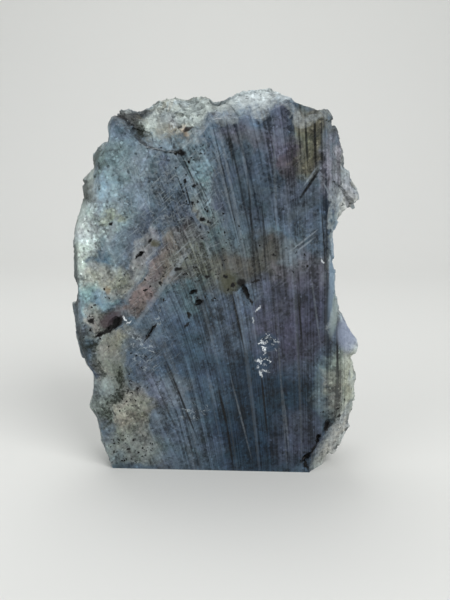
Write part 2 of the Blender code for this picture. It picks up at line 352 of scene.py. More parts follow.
# %% Break the surface and thin the flat parts
STONE_TRIANGLES = 190000
skin.data.materials.clear()
add_tree(skin, breaker, BREAK_SIZES)
skin = finished_copy(skin, "skin")
thin = skin.modifiers.new("thin the flat parts", "DECIMATE")
skin_triangles = 2 * len(skin.data.polygons)
thin.ratio = min(1.0, STONE_TRIANGLES / skin_triangles)
stone = finished_copy(skin, "polished_slab")
stone.data.shade_flat()
print("stone triangles:", len(stone.data.polygons))
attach(stone, "root")
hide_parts(STONE_NODE)

# %% [markdown]
# Now the finish. Labradorite is a feldspar: grey to dark blue, built of thin twin lamellae that
# show on the polished face as fine parallel lines, with cloudy teal and beige places and small black
# grains of iron ore. The material reads the object's own coordinates, turned into millimetres, so
# that every size in it can be checked with a ruler. It needs three of them: the place itself, a
# loose copy that is stirred by noise so that nothing painted has a clean edge, and a tight copy
# stirred only a little for small sharp marks.

# %% Coordinates of the finish, in millimetres
FACE_DEPTH = LOW.y / MM
TIGHT_STIRS = [(1.3, 1.5, 2.0), (0.5, 0.8, 2.0)]     # size and reach of each noise in mm, and its detail
LOOSE_STIRS = [(9.0, 13.0, 2.0), (2.0, 4.0, 3.0)]
stone_material.use_nodes = True
tree = stone_material.node_tree
shader = tree.nodes["Principled BSDF"]


def stirred(place, stirs):
    """A place moved about by noise, once for each stir."""
    for grain, swing, detail in stirs:
        noise = node(tree, NOISE, {"Vector": place, "Scale": 1 / grain, "Detail": detail})
        centred = node(tree, VECTOR, {0: noise.outputs["Color"], 1: MID_COLOUR}, operation="SUBTRACT")
        place = node(tree, VECTOR, {0: centred, 1: (swing, swing, swing), 2: place},
                     operation="MULTIPLY_ADD")
    return place


where = node(tree, "ShaderNodeTexCoord")
place = node(tree, VECTOR, {0: where.outputs["Object"], "Scale": 1 / MM}, operation="SCALE")
axes = node(tree, "ShaderNodeSeparateXYZ", {0: place})
across, height = axes.outputs["X"], axes.outputs["Z"]
behind = node(tree, MATH, {0: axes.outputs["Y"], 1: FACE_DEPTH}, operation="SUBTRACT")
tight = stirred(place, TIGHT_STIRS)
loose = stirred(place, LOOSE_STIRS)
print("polished face at y, mm:", round(FACE_DEPTH, 2))

# %% [markdown]
# The colours of the face lie in soft patches. Each is an ellipse with a name, a colour, a strength,
# a middle, a half width and height, a turn and a softness, all in the loose coordinates. The hex
# colours are what the eye sees; the polish adds about one hundredth of white light on top, so each
# paint is mixed darker by that much.

# %% Paint and patches
GLOSS_VEIL = 0.012
DARKEST = 0.002
PIVOT_HEIGHT = 60.0            # about the middle of the face, in mm


def paint(text):
    """The paint that looks like this colour under the polish."""
    return (*[max(part - GLOSS_VEIL, DARKEST) for part in hex_colour(text)[:3]], 1.0)


def measured(source):
    """The products of a place's x and z that patches are worked out from."""
    part = node(tree, "ShaderNodeSeparateXYZ", {0: source})
    x = part.outputs["X"]
    z = node(tree, MATH, {0: part.outputs["Z"], 1: PIVOT_HEIGHT}, operation="SUBTRACT")
    squares = node(tree, "ShaderNodeCombineXYZ", {
        "X": node(tree, MATH, {0: x, 1: x}, operation="MULTIPLY"),
        "Y": node(tree, MATH, {0: x, 1: z}, operation="MULTIPLY"),
        "Z": node(tree, MATH, {0: z, 1: z}, operation="MULTIPLY")})
    return squares, node(tree, "ShaderNodeCombineXYZ", {"X": x, "Y": z, "Z": 1.0})


def patch(source, strength, x, z, half_width, half_height, turn=0, softness=0.6):
    """Up to the given strength inside a turned ellipse, 0 outside it."""
    squares, plain = source
    z -= PIVOT_HEIGHT
    c, s = math.cos(math.radians(turn)), math.sin(math.radians(turn))
    wide, high = half_width ** -2, half_height ** -2
    xx, xz, zz = c * c * wide + s * s * high, 2 * c * s * (wide - high), s * s * wide + c * c * high
    rest = (-2 * xx * x - xz * z, -2 * zz * z - xz * x, xx * x * x + xz * x * z + zz * z * z)
    first = node(tree, VECTOR, {0: squares, 1: (xx, xz, zz)}, operation="DOT_PRODUCT")
    second = node(tree, VECTOR, {0: plain, 1: rest}, operation="DOT_PRODUCT")
    distance = node(tree, MATH, {0: first, 1: second}, operation="ADD")
    return node(tree, RANGE, {
        "Value": distance, "From Min": (1 + softness) ** 2, "From Max": (1 - softness) ** 2,
        "To Max": strength}, interpolation_type="SMOOTHSTEP")


def lay(colour, patches, source):
    """Lay named patches of paint over a colour, one after the other."""
    for name, tint, *shape in patches:
        amount = patch(source, *shape)
        colour = node(tree, MIX, {"Factor": amount, "A": colour, "B": paint(tint)},
                      data_type="RGBA", label=name)
    return colour


print("mid grey as paint:", [round(part, 3) for part in paint("#808080")])

# %% The patches of the polished face
GROUND_TINT = "#4a5763"
FACE_PATCHES = [
    # name, colour, strength, middle, half width, half height, turn in degrees, softness
    ("upper left haze", "#6d7c85", 1.0, -21, 83, 15, 16),
    ("upper left rim side", "#71838a", 0.9, -31, 91, 3.5, 9, -15),
    ("upper left dark patch", "#4d5963", 0.85, -14, 88, 6, 6.5),
    ("upper left lower dark", "#414a55", 0.95, -15, 74, 10, 7, 25),
    # The next three lie on facets of the left rim: a painted highlight in cyan, and olive that is the
    # facets' colour darkened by painted shade.
    ("upper left cyan highlight", "#86a2b3", 0.55, -32.5, 82, 1.2, 4.0, -10, 0.7),
    ("upper left olive in shade", "#5d6a62", 0.6, -33.5, 91, 1.3, 5, -25, 0.7),
    ("left facet olive in shade", "#5b615b", 0.7, -37.5, 84, 1.3, 3, -10),
    ("left pale", "#b6c3c0", 1.0, -37, 67, 5.5, 13),
    ("left upper light", "#8a9a9c", 0.7, -32, 77, 3.0, 6, -20),
    ("pale olive spot", "#9a9f83", 0.45, -31, 77, 1.3, 1.2, 0, 0.7),
    ("left blue", "#4a5c68", 1.0, -33.5, 66.5, 2.6, 4.5, -25, 0.7),
    ("left beige", "#8f9083", 0.9, -31.5, 58.5, 5, 4.5, -20),
    ("left teal", "#7b979c", 1.0, -36, 52, 4.5, 4),
    ("left lower blue", "#5f7380", 0.9, -33.5, 51.5, 1.8, 3.0, 0, 0.7),
    ("left gray", "#80827d", 1.0, -37, 45, 4.5, 3.5),
    ("under the inclusion", "#7e7d71", 0.9, -29, 40, 6, 3.0, 20),
    ("lower left blue", "#44515e", 0.9, -22, 37, 6, 7),
    ("lower left teal", "#6c706a", 0.9, -31.5, 31, 4.5, 7),
    ("low left beige", "#848479", 0.9, -26.5, 17.5, 5.5, 7),
    ("low left rim", "#767e7b", 0.9, -35, 22, 3, 7),
    ("bottom left", "#757b76", 0.9, -25, 7, 9, 5),
    ("lavender", "#5d6370", 0.7, -17, 24, 4, 8, 18),
    ("bar", "#67615e", 1.0, -18.5, 60, 3.6, 14, -34, 0.35),
    ("bar dark side", "#544f51", 0.7, -21.5, 57.5, 1.2, 11, -36, 0.6),
    ("bar pink end", "#6a605d", 0.7, -22.5, 53, 2.2, 5, -34),
    ("bar upper light", "#80837f", 0.7, -24.5, 63, 1.5, 10, -36),
    ("white patch", "#8a8f8f", 0.9, -9, 66.5, 3, 2.2),
    ("middle beige band", "#565850", 0.95, -2, 65, 10, 7, -10),
    ("middle dark band", "#43423f", 0.95, 13, 66, 9, 6),
    ("middle right", "#56575e", 0.9, 25, 62, 8, 6),
    ("olive streak", "#66604f", 0.9, -3.8, 80, 1.8, 5, 12),
    ("light blue band", "#6d8089", 0.9, -4.8, 87, 2.0, 10, 12),
    ("purple dark", "#444a57", 0.9, 1.5, 84, 3.5, 9, 12),
    ("upper teal", "#4d5d63", 0.7, 2, 73, 6, 5),
    ("middle teal", "#48595f", 0.9, -9, 54.5, 8, 4, -28),
    ("middle left blue", "#4a5763", 0.9, -16, 49, 5, 5, -30),
    ("navy foot", "#29343f", 1.0, 13, 18, 23, 20, 0, 0.45),
    ("navy left", "#394653", 1.0, -7, 34, 8, 13, 15),
    ("foot haze", "#5c666f", 0.8, -12.5, 22.5, 4.5, 7, 15),
    ("foot grey", "#5a6369", 0.75, -12.5, 9, 5.5, 9, 15),
    ("foot left", "#47535f", 0.8, -8, 9, 8, 9, 15),
    ("right purple", "#3e404c", 1.0, 22, 47, 12, 11),
    ("middle low", "#414b57", 0.9, 3, 46, 6, 8, 12),
    ("top middle", "#3d4650", 0.95, 8, 86, 7, 12),
    ("top brown", "#54535a", 0.6, 6, 101, 6, 4),
    ("top purple", "#575a66", 0.9, 16, 100, 3.5, 6),
    ("purple brown", "#49454a", 0.9, 20, 93, 2.6, 7),
    ("olive top right", "#605f53", 1.0, 25.3, 100, 4.0, 8.5, 0, 0.5),
    ("right lavender", "#737580", 0.9, 31, 90, 2.0, 7),
    ("shoulder side", "#7c7e84", 0.95, 36.5, 91, 2.4, 10),
    ("striped", "#474e57", 0.9, 24, 83, 7, 5),
    ("blue right", "#475260", 0.9, 29.5, 76, 2.2, 6),
    ("right light", "#5f6972", 0.7, 21, 68.5, 4, 3.5, -20),
    ("low right gray", "#4d5659", 0.8, 33, 26, 3.5, 8),
    ("low right purple", "#40444f", 0.8, 25, 10, 6, 8, -20),
    ("left rim dark", "#5a656b", 0.9, -41, 50, 1.7, 9),
    ("right rim olive", "#84887d", 0.85, 38.8, 29, 3.8, 8, 0, 0.9),
]
on_loose, on_tight, on_place = measured(loose), measured(tight), measured(place)
faces = lay(paint(GROUND_TINT), FACE_PATCHES, on_loose)
print("patches on the face:", len(FACE_PATCHES))

# %% [markdown]
# The lamellae are planes, so on the flat face they are lines. They stand nearly upright on the right
# and lean to the left by up to two parts in five towards the left edge. One number says which
# lamella a point lies on: its distance across, corrected for that lean. Noise that is stretched
# along the lamellae gives bands, lines and hairlines of three widths.

# %% Lamellae
LEAN_RIGHT, LEAN_GAIN, LEAN_POWER = 0.04, 0.38, 1.6
LEAN_FROM, LEAN_TO = 35.0, -12.0      # the lean grows between these two places across, in mm
CALM_FROM, CALM_TO = -26.0, -8.0      # and the bands gain strength between these two
CALM_BANDS = 0.25


def drawn_out(width, length, detail=2.0):
    """Noise stretched along the lamellae, with its width and length in mm."""
    line = node(tree, "ShaderNodeCombineXYZ", {"X": lamella, "Z": height})
    line = node(tree, VECTOR, {0: line, 1: (1 / width, 1.0, 1 / length)}, operation="MULTIPLY")
    return node(tree, NOISE, {"Vector": line, "Scale": 1.0, "Detail": detail, "Roughness": 0.6})


leftness = node(tree, RANGE, {"Value": across, "From Min": LEAN_FROM, "From Max": LEAN_TO})
lean = node(tree, MATH, {0: leftness, 1: LEAN_POWER}, operation="POWER")
lean = node(tree, MATH, {0: lean, 1: LEAN_GAIN, 2: LEAN_RIGHT}, operation="MULTIPLY_ADD")
above = node(tree, MATH, {0: height, 1: PIVOT_HEIGHT}, operation="SUBTRACT")
lamella = node(tree, MATH, {0: above, 1: lean, 2: across}, operation="MULTIPLY_ADD")
banded = node(tree, RANGE, {"Value": across, "From Min": CALM_FROM, "From Max": CALM_TO,
                            "To Min": CALM_BANDS, "To Max": 1.0}, interpolation_type="SMOOTHSTEP")
print("lamellae lean by", LEAN_RIGHT, "to", LEAN_RIGHT + LEAN_GAIN)

# %% [markdown]
# Plain patches would look printed. In the stone each lamella and each small crystal takes the light a
# little differently, so noise of five sizes makes the colour lighter and darker. Pepper, one draw
# for each tiny cell, adds single dark and bright crystals, and the hue drifts by a noise of its own.

# %% Tones
BAND_TONES = [
    # width and length of a band in mm, and how strongly it lightens and darkens
    (5.0, 160.0, 2.0), (1.6, 90.0, 1.8), (0.5, 40.0, 2.7),
]
CLOUD_TONES = [
    # coordinates, size in mm, detail, roughness, and how strongly they lighten and darken
    (tight, 4.5, 5.0, 0.62, 3.2), (place, 0.9, 3.0, 0.6, 2.0),
]
tone = 1.0
for width, length, swing in BAND_TONES:
    level = node(tree, MATH, {0: drawn_out(width, length), 1: MID}, operation="SUBTRACT")
    level = node(tree, MATH, {0: level, 1: banded}, operation="MULTIPLY")
    tone = node(tree, MATH, {0: level, 1: swing, 2: tone}, operation="MULTIPLY_ADD")
for source, size, detail, roughness, swing in CLOUD_TONES:
    noise = node(tree, NOISE, {"Vector": source, "Scale": 1 / size, "Detail": detail,
                               "Roughness": roughness})
    level = node(tree, MATH, {0: noise, 1: MID}, operation="SUBTRACT")
    tone = node(tree, MATH, {0: level, 1: swing, 2: tone}, operation="MULTIPLY_ADD")
print("tones on the face:", len(BAND_TONES + CLOUD_TONES))

# %% Pepper
PEPPER_SIZE = 0.7              # mm
PEPPER_FROM = 0.9              # cells that draw more than this are pepper
PEPPER = [("Red", -0.55), ("Green", 0.8)]      # the draw, and how much it adds to the tone
TONE_LEAST = 0.3
pepper = node(tree, CELLS, {"Vector": place, "Scale": 1 / PEPPER_SIZE})
pepper = node(tree, "ShaderNodeSeparateColor", {0: pepper.outputs["Color"]})
for channel, most in PEPPER:
    speck = node(tree, RANGE, {"Value": pepper.outputs[channel], "From Min": PEPPER_FROM,
                               "From Max": 1.0, "To Max": most})
    tone = node(tree, MATH, {0: tone, 1: speck}, operation="ADD")
tone = node(tree, MATH, {0: tone, 1: TONE_LEAST}, operation="MAXIMUM")
faces = node(tree, VECTOR, {0: faces, "Scale": tone}, operation="SCALE")
print("kinds of pepper:", len(PEPPER))

# %% Drift of hue
HUE_SIZE = 7.0                 # mm
HUE_SWING = (0.34, 0.28, 0.34)
hue = node(tree, NOISE, {"Vector": loose, "Scale": 1 / HUE_SIZE, "Detail": 4.0, "Roughness": 0.6})
hue = node(tree, VECTOR, {0: hue.outputs["Color"], 1: MID_COLOUR}, operation="SUBTRACT")
drift = node(tree, VECTOR, {0: hue, 1: HUE_SWING, 2: (1.0, 1.0, 1.0)}, operation="MULTIPLY_ADD")
faces = node(tree, VECTOR, {0: faces, 1: drift}, operation="MULTIPLY")
print("drift of red, green and blue:", HUE_SWING)

# %% [markdown]
# Some lamellae stand out as dark or pale streaks: stretched noise that is cut off high. Other lines
# have known ends, such as hairlines, worn scratches and pale rays. Each is a stroke, which is a patch
# that is long and thin. Where strokes meet the strongest one counts, so a crossing isn't darker.

# %% Streaks
STREAK_EDGE = 0.06
STREAKS = [
    # width and length in mm, the level that the noise must pass, strength, colour
    (1.7, 260.0, 0.65, 0.5, "#1f262f"), (2.6, 120.0, 0.62, 0.1, "#8d97a0"),
]
for width, length, scarce, strength, tint in STREAKS:
    streak = node(tree, RANGE, {"Value": drawn_out(width, length, 1.0), "From Min": scarce,
                                "From Max": scarce + STREAK_EDGE, "To Max": strength})
    streak = node(tree, MATH, {0: streak, 1: banded}, operation="MULTIPLY")
    faces = node(tree, MIX, {"Factor": streak, "A": faces, "B": paint(tint)}, data_type="RGBA")
print("kinds of streak:", len(STREAKS))

# %% How strokes and series are written
def gathered(shapes, source):
    """The strongest of many named patches at each place."""
    most = 0.0
    for name, *shape in shapes:
        most = node(tree, MATH, {0: most, 1: patch(source, *shape)}, operation="MAXIMUM", label=name)
    return most


def strokes(rows):
    """Long thin patches between pairs of places: name, strength, two ends and a width, in mm."""
    shapes = []
    for name, strength, x0, z0, x1, z1, width in rows:
        turn = math.degrees(math.atan2(x0 - x1, z1 - z0))
        length = math.hypot(x1 - x0, z1 - z0)
        shapes.append((name, strength, (x0 + x1) / 2, (z0 + z1) / 2, width / 2, length / 2, turn, 0.5))
    return shapes


def series(name, rows):
    """Name and number the rows of a series."""
    return [(f"{name} {number}", *row) for number, row in enumerate(rows, 1)]


print("a stroke as a patch:", *strokes([("upright, 10 mm long and 1 mm wide", 1.0, 0, 0, 0, 10, 1)]))

# %% Pale and dark strokes
PALE_STROKES = [
    # name, strength, one end, the other end, width
    *series("light ray", [
        (0.2, -3, 31.5, -0.5, 21.5, 0.9), (0.3, 4.5, 28.5, 10, 7, 0.5), (0.25, 19.5, 26.5, 22, 8, 0.6),
        (0.16, -9.5, 10, -6.5, 0, 1.4), (0.26, -20.5, 9.5, -16, 0, 2.8), (0.2, 17.5, 45, 21.5, 3, 0.5),
        (0.25, 27, 60, 30, 42, 0.5)]),
    *series("band ray", [
        (0.3, -2.8, 104, 3.4, 80, 0.8), (0.34, 0, 102, 7.5, 68, 0.7), (0.3, -8.1, 92, -2.8, 68, 0.9),
        (0.26, 5, 104, 9, 83, 0.7), (0.22, 15, 101, 16.5, 73, 0.7)]),
    ("bar lower edge", 0.45, -24, 46, -8.5, 68, 1.3),
    ("bar upper edge", 0.3, -27.5, 52, -17, 70, 1.2),
    ("pale line", 0.5, -27.5, 81, -34, 64.5, 1.3),
    *series("scratch", [
        (0.7, 24, 87, 27, 91.5, 0.5), (0.7, 29.5, 87, 32, 82.5, 0.5), (0.7, 21.5, 69, 27.5, 74, 0.5),
        (0.6, 22.5, 68.3, 27, 72, 0.5)]),
]
DARK_STROKES = [
    *series("hairline", [
        (0.9, -10, 94, -6.5, 86.5, 0.32), (0.9, -9.5, 86.5, -7.5, 79.5, 0.4),
        (0.85, -14.5, 33, -6.5, 12, 0.54), (0.9, 0.5, 26, 3, 15.5, 0.68), (0.85, 3, 15.5, 5, 2.5, 0.54),
        (0.95, 4, 56.5, 7.5, 40.5, 0.61), (0.85, 13, 32, 15.5, 11.5, 0.61),
        (0.8, 23, 57, 25, 40.5, 0.47), (0.95, 23, 83.5, 27.5, 90.5, 0.74),
        (0.85, 29, 80, 30.5, 66, 0.31), (0.8, 31, 64.5, 34, 49, 0.31), (0.85, 34.8, 46, 36, 30, 0.4),
        (0.7, 2, 103.5, 4, 92, 0.54), (0.8, -12, 90, -9, 82, 0.35)]),
    *series("band line", [
        (0.6, -1.6, 102, 5.5, 73, 0.45), (0.65, 2, 104, 10.3, 68, 0.5), (0.7, 8.2, 88, 11, 58, 0.6),
        (0.6, 12.4, 80, 13.8, 61, 0.5)]),
    *series("olive line", [
        (0.85, 23.5, 105, 24.5, 93, 0.61), (0.85, 26, 104.5, 26.8, 92, 0.68),
        (0.8, 28, 103, 28.6, 92.5, 0.54), (0.7, 21.5, 106, 22.5, 96, 0.47)]),
    *series("break line", [
        (0.8, -24, 100.2, -20, 97.0, 0.9), (0.7, -20, 97.0, -15.5, 95.7, 0.6),
        (0.75, -15.5, 95.7, -9.5, 95.3, 0.8)]),
]
BRUISE_SIZE = 0.8              # mm; this noise breaks up what is worn or bruised
bruise = node(tree, NOISE, {"Vector": place, "Scale": 1 / BRUISE_SIZE, "Detail": 4.0, "Roughness": 0.65})
bruise = node(tree, RANGE, {"Value": bruise, "From Min": 0.38, "From Max": 0.6,
                            "To Min": 0.35, "To Max": 1.0})
worn = node(tree, MATH, {0: gathered(strokes(PALE_STROKES), on_place), 1: bruise}, operation="MULTIPLY")
faces = node(tree, MIX, {"Factor": worn, "A": faces, "B": paint("#8a949c")}, data_type="RGBA")
faces = node(tree, MIX, {"Factor": gathered(strokes(DARK_STROKES), on_place), "A": faces,
                         "B": paint("#14191f")}, data_type="RGBA")
print("strokes:", len(PALE_STROKES) + len(DARK_STROKES))

# %% [markdown]
# Seen close, the polish is not perfect. Grinding left straight scratches in a few directions, and
# tiny cracks inside the stone catch the light as thin wandering veils. Both are denser on the left.
# A scratch is noise that is stretched a lot along one direction, and cut off high. A veil is the
# line where a plain noise crosses its middle value, broken up by a second noise.

# %% Scratches and veils
SCRATCH_EDGE = 0.08


def scratches(turn, spacing, length, scarce, strength):
    """Straight scratches that lean to the left by a turn, in degrees, from upright."""
    c, s = math.cos(math.radians(turn)), math.sin(math.radians(turn))
    line = node(tree, "ShaderNodeCombineXYZ", {
        "X": node(tree, VECTOR, {0: place, 1: (c / spacing, 0, s / spacing)}, operation="DOT_PRODUCT"),
        "Z": node(tree, VECTOR, {0: place, 1: (-s / length, 0, c / length)}, operation="DOT_PRODUCT")})
    noise = node(tree, NOISE, {"Vector": line, "Scale": 1.0, "Detail": 2.0})
    return node(tree, RANGE, {
        "Value": noise, "From Min": scarce, "From Max": scarce + SCRATCH_EDGE, "To Max": strength})


def veils(size, thin, strength):
    """Thin wandering lines, with the size of their bends in mm."""
    noise = node(tree, NOISE, {"Vector": tight, "Scale": 1 / size, "Detail": 3.0, "Distortion": 0.6})
    level = node(tree, MATH, {0: noise, 1: MID}, operation="SUBTRACT")
    level = node(tree, MATH, {0: level}, operation="ABSOLUTE")
    return node(tree, RANGE, {"Value": level, "From Min": thin, "From Max": 0.0, "To Max": strength})


SCRATCH_SETS = [
    # turn, spacing and length in mm, the level that the noise must pass, strength
    (-47, 0.34, 7.0, 0.6, 0.42), (-66, 0.38, 5.0, 0.62, 0.38), (28, 0.3, 6.0, 0.63, 0.38),
    (72, 0.4, 4.0, 0.64, 0.38), (6, 0.3, 8.0, 0.62, 0.34),
]
SCRATCHED = [
    # name, strength, middle, half width, half height, turn, softness
    ("upper left", 1.0, -16, 80, 15, 17, 0, 0.8),
    ("left", 0.7, -33, 62, 10, 20, 0, 0.8),
    ("lower left", 0.45, -22, 36, 9, 14, 20, 0.8),
    ("foot left", 0.3, -24, 10, 12, 12, 0, 0.8),
    ("middle", 0.3, 0, 60, 16, 14, 0, 0.8),
    ("middle right", 0.3, 25, 70, 8, 6, 0, 0.7),
    ("top right", 0.2, 18, 95, 16, 12, 0, 0.8),
    ("everywhere", 0.05, 0, 56, 60, 70),
]
HAZE_SIZE = 6.0                # mm; the veils come and go with this noise
haze = node(tree, NOISE, {"Vector": loose, "Scale": 1 / HAZE_SIZE, "Detail": 3.0})
haze = node(tree, RANGE, {"Value": haze, "From Min": 0.42, "From Max": 0.58, "To Max": 0.8})
marked = node(tree, MATH, {0: veils(5.0, 0.02, 0.45), 1: veils(2.0, 0.035, 0.3)}, operation="MAXIMUM")
marked = node(tree, MATH, {0: marked, 1: haze}, operation="MULTIPLY")
for scratch_set in SCRATCH_SETS:
    marked = node(tree, MATH, {0: marked, 1: scratches(*scratch_set)}, operation="MAXIMUM")
marked = node(tree, MATH, {0: marked, 1: gathered(SCRATCHED, on_loose)}, operation="MULTIPLY")
faces = node(tree, MIX, {"Factor": marked, "A": faces, "B": paint("#a6b0b4")}, data_type="RGBA")
print("directions of scratches:", len(SCRATCH_SETS))

# %% [markdown]
# The broken stone is paler than the polished face, because crushed feldspar scatters white light.
# The rim has patches of its own, the back is slate and beige with some rust, and every grain draws
# its own lightness. How far a point lies behind the face says whether it is polished or broken.

# %% Patches of the rim, and the back
BREAK_PATCHES = [
    # name, colour, strength, middle, half width, half height, turn, softness
    ("top left pale", "#b0b8af", 0.8, -14, 104, 6, 4),
    ("top middle pale", "#9da5a2", 0.9, 3, 108, 7, 3.5),
    ("top right pale", "#a3abae", 0.9, 14, 109, 8, 4),
    ("shoulder", "#7f7c7b", 0.9, 32, 100, 4, 9),
    # The next two are the painted shadow in the hollow at the top left corner.
    ("top left rim in painted shadow", "#17191b", 1.0, -26, 106, 6.5, 2.8, 12, 0.4),
    ("top left break in painted shadow", "#26292c", 1.0, -24, 101, 1.8, 4.2, 45, 0.5),
    ("left dark rim", "#575c59", 0.9, -41, 76, 3.4, 18),
    ("left rim low", "#50585a", 0.8, -42.5, 50, 2.4, 10),
    ("left low dark", "#4a4d48", 0.7, -40.5, 36, 3, 6),
    ("orange spot", "#ac9172", 0.8, -9.6, 99.5, 1.1, 2.6, 10, 0.7),
    ("brown streak", "#6a6052", 0.8, -13, 101, 1.5, 4.5, 12, 0.6),
    ("brown streak left", "#777469", 0.6, -16.5, 102, 1.2, 4.5, 8, 0.6),
    ("olive break", "#6d6a5c", 0.8, 25.5, 105, 4.5, 4, 0, 0.6),
    ("blue chip", "#979fae", 1.0, 39.0, 42, 4.5, 6, 0, 0.4),
    ("blue strip", "#77868f", 1.0, 34.5, 62, 3.0, 13, 0, 0.3),
    ("lavender shard", "#989ba1", 0.9, 38, 83.5, 4, 6),
    ("olive right rim", "#a7ab9b", 0.9, 40, 29, 4, 9),
    ("beige corner", "#a3a098", 0.9, 36, 10, 6, 9),
]
RIM_FULL, RIM_END = 5.0, 11.0  # mm behind the face, where the patches of the rim fade out
SLATE_SIZE, RUST_SIZE = 14.0, 8.0


def tinged(colour, tinges):
    """Tint a colour where a noise or a draw rises through a range of levels."""
    for draw, start, full, strength, tint in tinges:
        amount = node(tree, RANGE, {"Value": draw, "From Min": start, "From Max": full,
                                    "To Max": strength})
        colour = node(tree, MIX, {"Factor": amount, "A": colour, "B": paint(tint)}, data_type="RGBA")
    return colour


rim_only = node(tree, RANGE, {"Value": behind, "From Min": RIM_END, "From Max": RIM_FULL})
rim_colour = lay(paint("#8f9895"), BREAK_PATCHES, on_tight)
slate = node(tree, NOISE, {"Vector": loose, "Scale": 1 / SLATE_SIZE, "Detail": 4.0, "Roughness": 0.55})
rust = node(tree, NOISE, {"Vector": tight, "Scale": 1 / RUST_SIZE, "Detail": 5.0, "Roughness": 0.6})
back_colour = tinged(paint("#59636a"), [
    # what draws it, the levels where it starts and where it is full, strength, colour
    (slate, 0.40, 0.58, 1.0, "#8d9593"), (rust, 0.58, 0.72, 0.55, "#82725c")])
broken = node(tree, MIX, {"Factor": rim_only, "A": back_colour, "B": rim_colour}, data_type="RGBA")
print("patches on the break:", len(BREAK_PATCHES))

# %% Chunks, grains, ledges, and painted shade in creases
GRAIN_SIZE, CHUNK_SIZE, CLOUD_SIZE = 0.9, 4.5, 9.0     # mm
GRAIN_TONES = (0.68, 1.36)     # the darkest and the lightest grain
LEDGES = (1.4, 30.0)           # width and length, in mm
LEDGE_GAIN, LEDGE_LEAST = 1.6, 0.2
CREASE_SHADING_TONES = (0.66, 1.35)    # painted shade in creases, and painted highlight on ridges
grains = node(tree, CELLS, {"Vector": tight, "Scale": 1 / GRAIN_SIZE})
grain_draw = node(tree, "ShaderNodeSeparateColor", {0: grains.outputs["Color"]})
chunks = node(tree, CELLS, {"Vector": loose, "Scale": 1 / CHUNK_SIZE})
chunk_draw = node(tree, "ShaderNodeSeparateColor", {0: chunks.outputs["Color"]})
cloud = node(tree, NOISE, {"Vector": loose, "Scale": 1 / CLOUD_SIZE, "Detail": 4.0, "Roughness": 0.6})
broken = tinged(broken, [
    (cloud, 0.45, 0.62, 0.5, "#7b8791"),
    (chunk_draw.outputs["Red"], 0.6, 1.0, 0.5, "#b4bbb9"),
    (chunk_draw.outputs["Green"], 0.75, 0.95, 0.35, "#85816f")])
sugar = node(tree, RANGE, {"Value": grain_draw.outputs["Red"], "To Min": GRAIN_TONES[0],
                           "To Max": GRAIN_TONES[1]})
ledges = node(tree, MATH, {0: drawn_out(*LEDGES), 1: LEDGE_GAIN, 2: LEDGE_LEAST},
              operation="MULTIPLY_ADD")
sugar = node(tree, MATH, {0: sugar, 1: ledges}, operation="MULTIPLY")
broken = node(tree, VECTOR, {0: broken, "Scale": sugar}, operation="SCALE")
broken = tinged(broken, [(grain_draw.outputs["Green"], 0.94, 0.96, 0.6, "#3a3f40")])
# Pointiness darkens the creases of the break and lightens its ridges: painted shade and painted
# highlights.
crease_shading = node(tree, "ShaderNodeNewGeometry").outputs["Pointiness"]
crease_shading = node(tree, RANGE, {"Value": crease_shading, "From Min": 0.44, "From Max": 0.56,
                            "To Min": CREASE_SHADING_TONES[0], "To Max": CREASE_SHADING_TONES[1]})
broken = node(tree, VECTOR, {0: broken, "Scale": crease_shading}, operation="SCALE")
print("sizes in the break, mm:", GRAIN_SIZE, CHUNK_SIZE, CLOUD_SIZE)

# %% Where the polish ends
RAGGED_SIZE = 1.5              # mm; the edge of the polish is ragged by this noise
GLOSS_RAGGED, COLOUR_RAGGED = 0.8, 3.0       # and by this much, in mm
GLOSS_ENDS = (0.5, 1.0)        # mm behind the face where the gloss starts to fade and is gone
COLOUR_ENDS = (2.4, 4.6)       # and the same for the colours of the face
CARRIED_ON = (-4.0, 31.0, 95.0, 3.0, 14.0, 0, 0.4)     # a patch at the shoulder where they go deeper
ragged = node(tree, NOISE, {"Vector": place, "Scale": 1 / RAGGED_SIZE, "Detail": 3.0})
rough = node(tree, MATH, {0: ragged, 1: GLOSS_RAGGED, 2: behind}, operation="MULTIPLY_ADD")
rough = node(tree, RANGE, {"Value": rough, "From Min": GLOSS_ENDS[0], "From Max": GLOSS_ENDS[1]},
             interpolation_type="SMOOTHSTEP")
paler = node(tree, MATH, {0: ragged, 1: COLOUR_RAGGED, 2: behind}, operation="MULTIPLY_ADD")
paler = node(tree, MATH, {0: paler, 1: patch(on_place, *CARRIED_ON)}, operation="ADD")
paler = node(tree, RANGE, {"Value": paler, "From Min": COLOUR_ENDS[0], "From Max": COLOUR_ENDS[1]},
             interpolation_type="SMOOTHSTEP")
whole = node(tree, MIX, {"Factor": paler, "A": faces, "B": broken}, data_type="RGBA")
print("gloss ends, mm behind the face:", GLOSS_ENDS)

# %% [markdown]
# The edge of the polish is bruised, so the face pales to frost there before the rough rim starts. The
# facets of the rim that catch the eye get painted shade and painted highlights where they are, along with
# dark crusts, and the hollow at the top left gets a painted shadow. None of it may show on the back, so
# all of it fades out with the patches of the rim.

# %% Frost along the edge of the face
FROST = [
    # name, strength, two ends, width
    ("over the top left", 0.5, -9, 98.5, -4, 103.5, 4),
    ("top middle", 0.45, -4, 105, 5, 107.5, 4),
    ("right of the middle", 0.5, 4, 108.2, 15, 108.8, 3.6),
    ("top right", 0.5, 17, 107.5, 29, 105.5, 2.6),
    ("shoulder", 0.15, 30, 104, 33.5, 89, 3.6),
    ("below the shard", 0.5, 33, 88, 33, 72, 2.0),
    ("right strip", 0.6, 33.2, 72, 34.6, 48, 2.0),
    ("above the corner", 0.5, 40, 36, 40.5, 22, 3.6),
    ("corner", 0.4, 39, 18, 31, 3, 4.0),
]
frost = node(tree, MATH, {0: gathered(strokes(FROST), on_loose), 1: bruise}, operation="MULTIPLY")
frost = node(tree, MATH, {0: frost, 1: rim_only}, operation="MULTIPLY")
whole = node(tree, MIX, {"Factor": frost, "A": whole, "B": paint("#adb5b7")}, data_type="RGBA")
print("frosted edges:", len(FROST))
